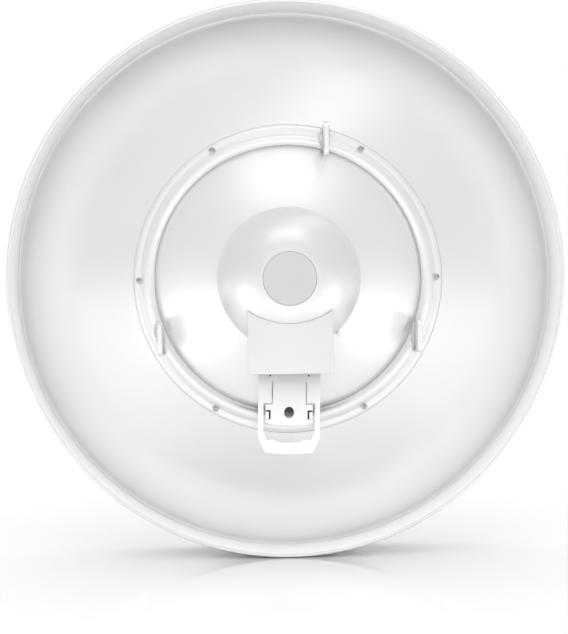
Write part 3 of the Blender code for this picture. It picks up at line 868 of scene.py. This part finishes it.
def lug(name, x, y, beads):
    """A plate cut to the ring's shape below, with a weld bead along each side."""
    place = lug_frame(x, y)
    half = LUG_LENGTH / 2.0
    corner = LUG_REAR_Z - LUG_CORNER
    edge = arc(half - LUG_CORNER, corner, LUG_CORNER, 0.0, math.pi / 2.0, steps=12)
    edge += arc(LUG_CORNER - half, corner, LUG_CORNER, math.pi / 2.0, math.pi, steps=12)
    for along in evenly(-half, half, count=42):
        edge.append((along, ring_rear_z(math.hypot(x, y + along)) - GAP))
    hole = ellipse(0.0, LUG_HOLE_Z, LUG_HOLE_RADIUS, LUG_HOLE_RADIUS, HOLE_STEPS)
    data = plate_mesh(name + "_plate", [edge, hole], LUG_THICKNESS)
    data.transform(place)
    rounded_edges(add_piece(name + "_plate", data, COAT, name), PLATE_ROUND)
    for label, bead in zip("ab", beads):
        weld(f"{name}_weld_{label}", place, bead)


def along_bead(bead, share):
    """Place along and beside the lug, and radius, part way along a bead."""
    step = share * (len(bead) - 1)
    i = min(int(step), len(bead) - 2)
    t = step - i
    return [a + (b - a) * t for a, b in zip(bead[i], bead[i + 1])]


def weld(name, place, bead):
    """A rough bead beside a lug, following the ring below it."""
    length = sum(math.dist(a[:2], b[:2]) for a, b in zip(bead, bead[1:]))
    count = max(WELD_FEWEST_STEPS, int(length / WELD_STEP))
    path, radii = [], []
    for i in range(count + 1):
        along, beside, radius = along_bead(bead, i / count)
        foot = place @ Vector((along, 0.0, beside))
        z = max(ring_rear_z(math.hypot(foot.x, foot.y)), SEAT_Z + WELD_LIFT)
        path.append(Vector((foot.x, foot.y, z)))
        ripple = noise.noise(path[-1] * WELD_RIPPLE_SCALE)
        ripple += WELD_FINE_RIPPLE * noise.noise(path[-1] * WELD_FINE_SCALE)
        share = WELD_END + (1.0 - 2.0 * WELD_END) * i / count
        end = math.sqrt(math.sin(math.pi * share))
        radii.append(radius * end * (1.0 + WELD_RIPPLE * ripple))
    data = sweep_mesh(name, path, radii)
    for vertex in data.vertices:
        shake = noise.noise_vector(vertex.co * WELD_SHAKE_SCALE)
        vertex.co += Vector(shake) * WELD_SHAKE
    smooth(add_piece(name, data, WELD_FINISH_WITH_SHADE), angle=math.pi)


def lugs():
    lug("lug_top", TOP_LUG_X, TOP_LUG_Y, TOP_LUG_BEADS)
    lug("lug_left", -LOW_LUG_X, LOW_LUG_Y, LEFT_LUG_BEADS)
    lug("lug_right", LOW_LUG_X, LOW_LUG_Y, RIGHT_LUG_BEADS)


# Radio housing

def dome_centre():
    """Radius and height of the centre of the arc that the dome's side follows."""
    return (DISC_RADIUS + GAP - DOME_ARC_RADIUS * math.sin(DOME_TOP_SLOPE),
            DOME_TOP_Z - DOME_ARC_RADIUS * math.cos(DOME_TOP_SLOPE))


def dome_arc(grow, count):
    """The dome's side from its top edge down to its rim, moved outward by grow."""
    centre_radius, centre_z = dome_centre()
    end = math.asin((DOME_RADIUS - centre_radius) / DOME_ARC_RADIUS)
    size = DOME_ARC_RADIUS + grow
    return [(centre_radius + size * math.sin(slope), centre_z + size * math.cos(slope))
            for slope in evenly(DOME_TOP_SLOPE, end, count)]


def dome_rear_z(radius):
    """Depth of the dome's outer side at a radius, or of the reflector outside it."""
    if radius >= DOME_RADIUS:
        return centre_rear_z(radius)
    centre_radius, centre_z = dome_centre()
    return centre_z + math.sqrt(DOME_ARC_RADIUS ** 2 - (radius - centre_radius) ** 2)


def rear_housing():
    """The dome's shell, with a shallow seat for the disc in its top."""
    seat_z = DOME_TOP_Z - DISC_THICKNESS - GAP
    inner_rim = DOME_RADIUS - DOME_WALL
    profile = [(0.0, seat_z), (DISC_RADIUS + GAP, seat_z)]
    profile += dome_arc(0.0, count=40)
    profile += [(r, centre_rear_z(r) + GAP) for r in (DOME_RADIUS, inner_rim)]
    profile += list(reversed(dome_arc(-DOME_WALL, count=24)))[:-1]
    profile += [(DISC_RADIUS - DOME_WALL, seat_z - DOME_WALL), (0.0, seat_z - DOME_WALL)]
    turned_piece("housing_dome", profile, HOUSING_SHADED_COAT, "rear_housing", HOUSING_EDGE,
                 HUB_FINE_STEPS)


def housing_disc():
    disc = plug(DISC_RADIUS, DOME_TOP_Z, DISC_RADIUS, DOME_TOP_Z - DISC_THICKNESS)
    turned_piece("disc_plate", disc, DISC_FINISH, "housing_disc", HOUSING_EDGE, HUB_FINE_STEPS)


def housing_tab():
    """The small stop that stands on the reflector beside the dome."""
    length, width, height = TAB_SIZE
    near = DOME_RADIUS + GAP
    outline = rectangle(-length / 2.0, length / 2.0, width / 2.0, -width / 2.0)
    data = plate_mesh("tab_block", [outline], height)
    data.transform(Matrix.Rotation(TAB_ANGLE, 4, "Z")
                   @ Matrix.Translation((near + length / 2.0, 0.0,
                                         centre_rear_z(near) + GAP + height / 2.0)))
    rounded_edges(add_piece("tab_block", data, TAB_FINISH, "housing_tab"), TAB_ROUND)


# Neck cover

def neck_columns(half_width, face_z, edge_radius):
    """The cover's cross-section from left to right: (x, z, share of the side wall)."""
    flat = half_width - edge_radius
    right = [(x, face_z - NECK_FACE_BULGE * (x / flat) ** 2, 0.0)
             for x in evenly(0.0, flat, count=22)]
    side_z = face_z - NECK_FACE_BULGE - edge_radius
    right += [(x, z, 0.0) for x, z in
              arc(flat, side_z, edge_radius, math.pi / 2.0, 0.0, steps=6)[1:]]
    right += [(half_width, side_z, share) for share in evenly(0.0, 1.0, count=11)[1:]]
    return [(-x, z, share) for x, z, share in reversed(right[1:])] + right


def neck_heights(top, top_round, bottom_round):
    """Heights up the cover with the drop of its rounded ends: (y, drop)."""
    low, high = NECK_BOTTOM_Y + bottom_round, top - top_round
    turns = evenly(0.0, math.pi / 2.0, count=7)
    rows = [(low - bottom_round * math.sin(turn), bottom_round * (1.0 - math.cos(turn)))
            for turn in reversed(turns)]
    rows += [(y, 0.0) for y in evenly(low, high, count=26)[1:-1]]
    rows += [(high + top_round * math.sin(turn), top_round * (1.0 - math.cos(turn)))
             for turn in turns]
    return rows


def neck_grid(mesh, columns, top_round, bottom_round):
    """Vertices of one skin of the cover, whose side walls end just above the dome."""
    grid = []
    for x, z, share in columns:
        top = NECK_TOP_ARC_Y - math.sqrt(NECK_TOP_ARC_RADIUS ** 2 - x ** 2)
        column = []
        for y, drop in neck_heights(top, top_round, bottom_round):
            foot = dome_rear_z(math.hypot(x, y)) + GAP
            depth = z + (foot - z) * share - drop * (1.0 - share)
            column.append(mesh.verts.new((x, y, max(depth, foot))))
        grid.append(column)
    return grid


def neck_cover():
    """The cover's shell: an outer and an inner skin, joined round its open sides."""
    mesh = bmesh.new()
    outer = neck_grid(mesh, neck_columns(NECK_HALF_WIDTH, NECK_FACE_Z, NECK_EDGE_RADIUS),
                      NECK_TOP_ROUND, NECK_BOTTOM_ROUND)
    inner = neck_grid(mesh, neck_columns(NECK_HALF_WIDTH - NECK_WALL, NECK_FACE_Z - NECK_WALL,
                                         NECK_WALL / 4.0), GAP, GAP)
    for i in range(len(outer) - 1):
        for j in range(len(outer[i]) - 1):
            mesh.faces.new((outer[i][j], outer[i + 1][j], outer[i + 1][j + 1], outer[i][j + 1]))
            mesh.faces.new((inner[i][j], inner[i][j + 1], inner[i + 1][j + 1], inner[i + 1][j]))
    around_outer, around_inner = rim_of(outer), rim_of(inner)
    for i, vertex in enumerate(around_outer):
        mesh.faces.new((around_outer[i - 1], around_inner[i - 1], around_inner[i], vertex))
    bmesh.ops.recalc_face_normals(mesh, faces=mesh.faces)
    smooth(add_piece("neck_shell", finished(mesh, "neck_shell"), NECK_COAT, "neck_cover"))


def rim_of(grid):
    """The vertices round a grid's edge, in order."""
    rim = [column[0] for column in grid]
    rim += grid[-1][1:]
    rim += [column[-1] for column in reversed(grid[:-1])]
    return rim + list(reversed(grid[0][1:-1]))


# Latch

def latch_place():
    """The latch hangs a little askew from its upper edge."""
    return (Matrix.Translation((LATCH_X, LATCH_TOP_Y, 0.0)) @ Matrix.Rotation(LATCH_TILT, 4, "Z")
            @ Matrix.Translation((0.0, -LATCH_TOP_Y, 0.0)))


def latch_plate(name, outlines, thickness, front_z, material, *nodes, edge=PLATE_ROUND):
    """A flat latch piece, rounded everywhere but where the tongue joins the bridge."""
    data = plate_mesh(name, outlines, thickness)
    shape = bmesh.new()
    shape.from_mesh(data)
    weight = shape.edges.layers.float.new("bevel_weight_edge")
    for line in shape.edges:
        seam = all(SLIT_TOP_Y - GAP < v.co.y < SLIT_TOP_Y + 2.0 * SEAM_LAP
                   and abs(v.co.x) < TONGUE_HALF_WIDTH + 2.0 * SLIT_WIDTH for v in line.verts)
        sharp = line.calc_face_angle(0.0) > EDGE_ANGLE
        line[weight] = 1.0 if sharp and not seam else 0.0
    shape.to_mesh(data)
    shape.free()
    data.transform(latch_place() @ Matrix.Translation((0.0, 0.0, front_z + thickness / 2.0)))
    rounded_edges(add_piece(name, data, material, *nodes), edge, limit="WEIGHT")


def pin_circles(radius):
    return [ellipse(side * PIN_HOLE_X, PIN_HOLE_Y, radius, radius, PIN_STEPS)
            for side in (-1.0, 1.0)]


def latch_hole_shadows():
    """Black discs set in the frame's two small holes: painted shade for the dark holes."""
    for name, circle in zip(("hole_shadow_left", "hole_shadow_right"), pin_circles(PIN_HOLE_RADIUS - GAP / 3.0)):
        latch_plate(name, [circle], SHADOW_SHEET_THICKNESS, FRAME_FRONT_Z + SHADOW_SHEET_THICKNESS,
                    SOCKET_AND_SHADOW_BLACK, edge=GAP / 2.0)


def latch_frame():
    """The pull frame: a bridge above the tongue, two arms and a wavy grip bar."""
    right = [(FRAME_HALF_WIDTH, LATCH_TOP_Y), (FRAME_HALF_WIDTH, FRAME_CHAMFER_Y),
             (FRAME_BOTTOM_HALF_WIDTH, FRAME_CORNER_Y)]
    rise = FRAME_CORNER_Y - FRAME_BOTTOM_Y
    curved = [(share * FRAME_BOTTOM_HALF_WIDTH, FRAME_BOTTOM_Y + rise * share ** 2)
              for share in evenly(1.0, 0.0, count=11)[1:-1]]
    shoulder = TONGUE_HALF_WIDTH + SLIT_WIDTH
    window = [(shoulder, SLIT_TOP_Y), (shoulder, FRAME_SHOULDER_Y),
              (FRAME_ARM_INNER, FRAME_SHOULDER_Y), (FRAME_ARM_INNER, GRIP_SIDE_Y)]
    outlines = [mirrored(right + curved), mirrored(window + grip_line())]
    outlines += pin_circles(PIN_HOLE_RADIUS)
    latch_plate("pull_frame", outlines, FRAME_THICKNESS, FRAME_FRONT_Z, LATCH_MOULDING,
                "latch_frame")


def grip_line():
    """The grip bar's wavy top, from its right end to near the middle."""
    points = [(GRIP_HALF_WIDTH, GRIP_END_Y),
              (GRIP_HALF_WIDTH - GRIP_SHOULDER, GRIP_HIGH_Y - GRIP_SHOULDER_DROP)]
    for share in evenly(0.0, 1.0, count=9):
        x = GRIP_BUMP_X + (GRIP_MID_HALF_WIDTH - GRIP_BUMP_X) * share
        drop = (1.0 - math.cos(math.pi * share)) / 2.0
        points.append((x, GRIP_HIGH_Y + (GRIP_LOW_Y - GRIP_HIGH_Y) * drop))
    return points


def latch_tongue():
    """The tongue: a strip between the slits, and a foot with a notch at each side."""
    right = [(TONGUE_HALF_WIDTH, SLIT_TOP_Y + SEAM_LAP), (TONGUE_HALF_WIDTH, FOOT_TOP_Y),
             (FOOT_HALF_WIDTH, FOOT_TOP_Y), (FOOT_HALF_WIDTH, NOTCH_TOP_Y),
             (NOTCH_X, NOTCH_TOP_Y), (NOTCH_X, NOTCH_BOTTOM_Y),
             (FOOT_HALF_WIDTH, NOTCH_BOTTOM_Y), (FOOT_HALF_WIDTH, FOOT_SIDE_Y)]
    rise = FOOT_SIDE_Y - FOOT_BOTTOM_Y
    curved = [(share * FOOT_HALF_WIDTH, FOOT_BOTTOM_Y + rise * share ** FOOT_CURVE_POWER)
              for share in evenly(FOOT_CURVE_END, 1.0 - FOOT_CURVE_END, count=12)]
    hole = ellipse(0.0, TONGUE_HOLE_Y, TONGUE_HOLE_HALF_WIDTH, TONGUE_HOLE_HALF_HEIGHT,
                   HOLE_STEPS)
    latch_plate("tongue_plate", [mirrored(right + curved), hole], TONGUE_THICKNESS,
                TONGUE_FRONT_Z, LATCH_MOULDING, "latch_tongue")


def tongue_hole_shadow():
    """A black sheet behind the upper part of the tongue's hole: painted shadow for the deep shade
    seen through it.
    """
    half = TONGUE_HOLE_HALF_WIDTH + SHADOW_SHEET_MARGIN
    shadow_outline = [(-half, TONGUE_HOLE_Y + half), (half, TONGUE_HOLE_Y + half),
            (half, TONGUE_HOLE_Y + SHADOW_EDGE_RIGHT), (0.0, TONGUE_HOLE_Y - SHADOW_EDGE_POINT),
            (-half, TONGUE_HOLE_Y + SHADOW_EDGE_LEFT)]
    latch_plate("tongue_hole_shadow", [shadow_outline], SHADOW_SHEET_THICKNESS, TONGUE_FRONT_Z - SHADOW_SHEET_THICKNESS,
                SOCKET_AND_SHADOW_BLACK, edge=GAP)


def catches():
    """The hooks in the foot's notches, with black sheets behind the slots as painted shadow."""
    bottom_y = NOTCH_BOTTOM_Y + GAP
    for name, side in (("catch_left", -1.0), ("catch_right", 1.0)):
        hook = rectangle(side * (NOTCH_X + NOTCH_GAP), side * FOOT_HALF_WIDTH,
                         NOTCH_TOP_Y - NOTCH_GAP, bottom_y)
        latch_plate(name + "_hook", [hook], TONGUE_THICKNESS, TONGUE_FRONT_Z,
                    LATCH_MOULDING, name)
        # Black sheet of painted shadow behind the slot
        shadow_sheet = rectangle(side * (NOTCH_X - SHADOW_SHEET_MARGIN), side * (FOOT_HALF_WIDTH - SHADOW_SHEET_MARGIN),
                        NOTCH_TOP_Y + SHADOW_SHEET_MARGIN, bottom_y)
        latch_plate(name + "_painted_shadow", [shadow_sheet], SHADOW_SHEET_THICKNESS, TONGUE_FRONT_Z - SHADOW_SHEET_THICKNESS,
                    SOCKET_AND_SHADOW_BLACK, edge=GAP)


# Feed

def feed_collar():
    """The collar in front of the centre reflector, with a spigot through its hole."""
    spigot = CENTRE_HOLE_RADIUS - GAP
    collar = [(0.0, SPIGOT_REAR_Z), (spigot, SPIGOT_REAR_Z), (spigot, COLLAR_REAR_Z),
              (COLLAR_RADIUS, COLLAR_REAR_Z), (COLLAR_RADIUS, COLLAR_FRONT_Z),
              (0.0, COLLAR_FRONT_Z)]
    turned_piece("collar_body", collar, MOULDING, "feed_collar", COLLAR_ROUND)


def feed_tube():
    tube = plug(FEED_TUBE_RADIUS, COLLAR_FRONT_Z - GAP, FEED_TUBE_RADIUS, FEED_CONE_REAR_Z)
    turned_piece("feed_pipe", tube, MOULDING, "feed_tube")


def feed_cone():
    cone = plug(FEED_TUBE_RADIUS, FEED_CONE_REAR_Z - GAP, SPLASH_RADIUS, FEED_CONE_FRONT_Z)
    turned_piece("feed_cone_body", cone, CONE_FINISH, "feed_cone")


def splash_plate():
    splash = plug(SPLASH_RADIUS, FEED_CONE_FRONT_Z - GAP, SPLASH_RADIUS, SPLASH_FRONT_Z)
    turned_piece("splash_disc", splash, ALUMINIUM, "splash_plate")


def feed_cap():
    """The domed cap in front of the splash plate."""
    rear_z = SPLASH_FRONT_Z - GAP
    depth = rear_z - CAP_FRONT_Z
    cap = [(0.0, rear_z)]
    cap += [(SPLASH_RADIUS * math.cos(turn), rear_z - depth * math.sin(turn))
            for turn in evenly(0.0, math.pi / 2.0, count=24)]
    turned_piece("feed_cap_shell", cap, MOULDING, "feed_cap", CAP_ROUND)


def kept_solids():
    """The neck's base and the port block stay as solids and only take a finish."""
    for node, material in (("neck_base", MOULDING), ("port_block", SOCKET_AND_SHADOW_BLACK)):
        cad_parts[node].data.materials[0] = material


# Floor, light and camera

def white_floor():
    """A wide pale floor at the dish's lowest point, glossy enough for a faint mirror image."""
    mesh = bpy.data.meshes.new("floor")
    shape = bmesh.new()
    bmesh.ops.create_grid(shape, x_segments=1, y_segments=1, size=FLOOR_HALF_SIZE)
    shape.to_mesh(mesh)
    shape.free()
    floor = bpy.data.objects.new("floor", mesh)
    bpy.context.scene.collection.objects.link(floor)
    floor.location = (DISH.translation.x, 0.0, solid_bounds[0][2])
    paint = bpy.data.materials.new("floor_white")
    paint.use_nodes = True
    tree = paint.node_tree
    matt = tree.nodes["Principled BSDF"]
    matt.inputs["Base Color"].default_value = (*grey(FLOOR_WHITE), 1.0)
    matt.inputs["Specular IOR Level"].default_value = 0.0
    gloss = tree.nodes.new("ShaderNodeBsdfGlossy")
    gloss.inputs["Roughness"].default_value = FLOOR_ROUGHNESS
    gloss.inputs["Color"].default_value = PURE_WHITE
    mix = tree.nodes.new("ShaderNodeMixShader")
    mix.inputs["Fac"].default_value = FLOOR_GLOSS
    tree.links.new(matt.outputs["BSDF"], mix.inputs[1])
    tree.links.new(gloss.outputs["BSDF"], mix.inputs[2])
    tree.links.new(mix.outputs["Shader"], tree.nodes["Material Output"].inputs["Surface"])
    floor.data.materials.append(paint)


def white_surroundings():
    """White all round, with its own strength as a backdrop, in reflections and as light."""
    world = bpy.data.worlds.new("studio")
    bpy.context.scene.world = world
    world.use_nodes = True
    tree = world.node_tree
    mirrored = tree.nodes["Background"]
    mirrored.inputs["Color"].default_value = PURE_WHITE
    mirrored.inputs["Strength"].default_value = MIRRORED_STRENGTH
    path = tree.nodes.new("ShaderNodeLightPath")
    result = mirrored.outputs["Background"]
    for ray, strength in (("Is Diffuse Ray", FILL_STRENGTH), ("Is Camera Ray", BACKDROP_STRENGTH)):
        white = tree.nodes.new("ShaderNodeBackground")
        white.inputs["Color"].default_value = PURE_WHITE
        white.inputs["Strength"].default_value = strength
        mix = tree.nodes.new("ShaderNodeMixShader")
        tree.links.new(path.outputs[ray], mix.inputs["Fac"])
        tree.links.new(result, mix.inputs[1])
        tree.links.new(white.outputs["Background"], mix.inputs[2])
        result = mix.outputs["Shader"]
    tree.links.new(result, tree.nodes["World Output"].inputs["Surface"])


def softbox(name, place, width, height, watts):
    """An area light in the dish's frame, facing the middle of the dish."""
    light = bpy.data.lights.new(name, "AREA")
    light.shape = "RECTANGLE"
    light.size = width
    light.size_y = height
    light.energy = watts
    obj = bpy.data.objects.new(name, light)
    bpy.context.scene.collection.objects.link(obj)
    target = DISH @ Vector((0.0, 0.0, LIGHT_TARGET_Z))
    obj.location = DISH @ Vector(place)
    obj.rotation_mode = "QUATERNION"
    obj.rotation_quaternion = (target - obj.location).to_track_quat("-Z", "Y")
    obj.visible_camera = False


def studio():
    white_floor()
    white_surroundings()
    for name, place, width, height, watts in SOFTBOXES:
        softbox(name, place, width, height, watts)
    bpy.context.scene.view_settings.view_transform = "Standard"


def camera():
    """Stand behind the dish, a little left of and below its axis, as the photograph does.

    The rows of the turn are the part's axes as the camera sees them: its right, its
    beam, which points at the place where the dish's axis vanishes, and its up.
    """
    beam = Vector((VANISH_X - PHOTO_WIDTH / 2.0, PHOTO_HEIGHT / 2.0 - VANISH_Y,
                   -FOCAL_LENGTH_PX)).normalized()
    up = Vector((-math.sin(ROLL), math.cos(ROLL), 0.0))
    up = (up - beam * up.dot(beam)).normalized()
    turn = Matrix((beam.cross(up), beam, up)).to_4x4()
    data = bpy.data.cameras.new("camera")
    data.sensor_width = SENSOR_MM
    data.lens = FOCAL_LENGTH_PX * SENSOR_MM / PHOTO_HEIGHT
    obj = bpy.data.objects.new("camera", data)
    bpy.context.scene.collection.objects.link(obj)
    place = DISH @ Vector((-CAMERA_LEFT, -CAMERA_BELOW, CAMERA_DISTANCE))
    obj.matrix_world = Matrix.Translation(place) @ turn
    bpy.context.scene.camera = obj


def main():
    outer_bowl()
    centre_reflector()
    rim_skirt()
    rim_roll()
    front_bead()
    ring_flange()
    ring_tube()
    ring_screws()
    rim_screws()
    lugs()
    rear_housing()
    housing_disc()
    housing_tab()
    neck_cover()
    latch_hole_shadows()
    latch_frame()
    latch_tongue()
    tongue_hole_shadow()
    catches()
    feed_collar()
    feed_tube()
    feed_cone()
    splash_plate()
    feed_cap()
    kept_solids()
    studio()
    camera()


main()
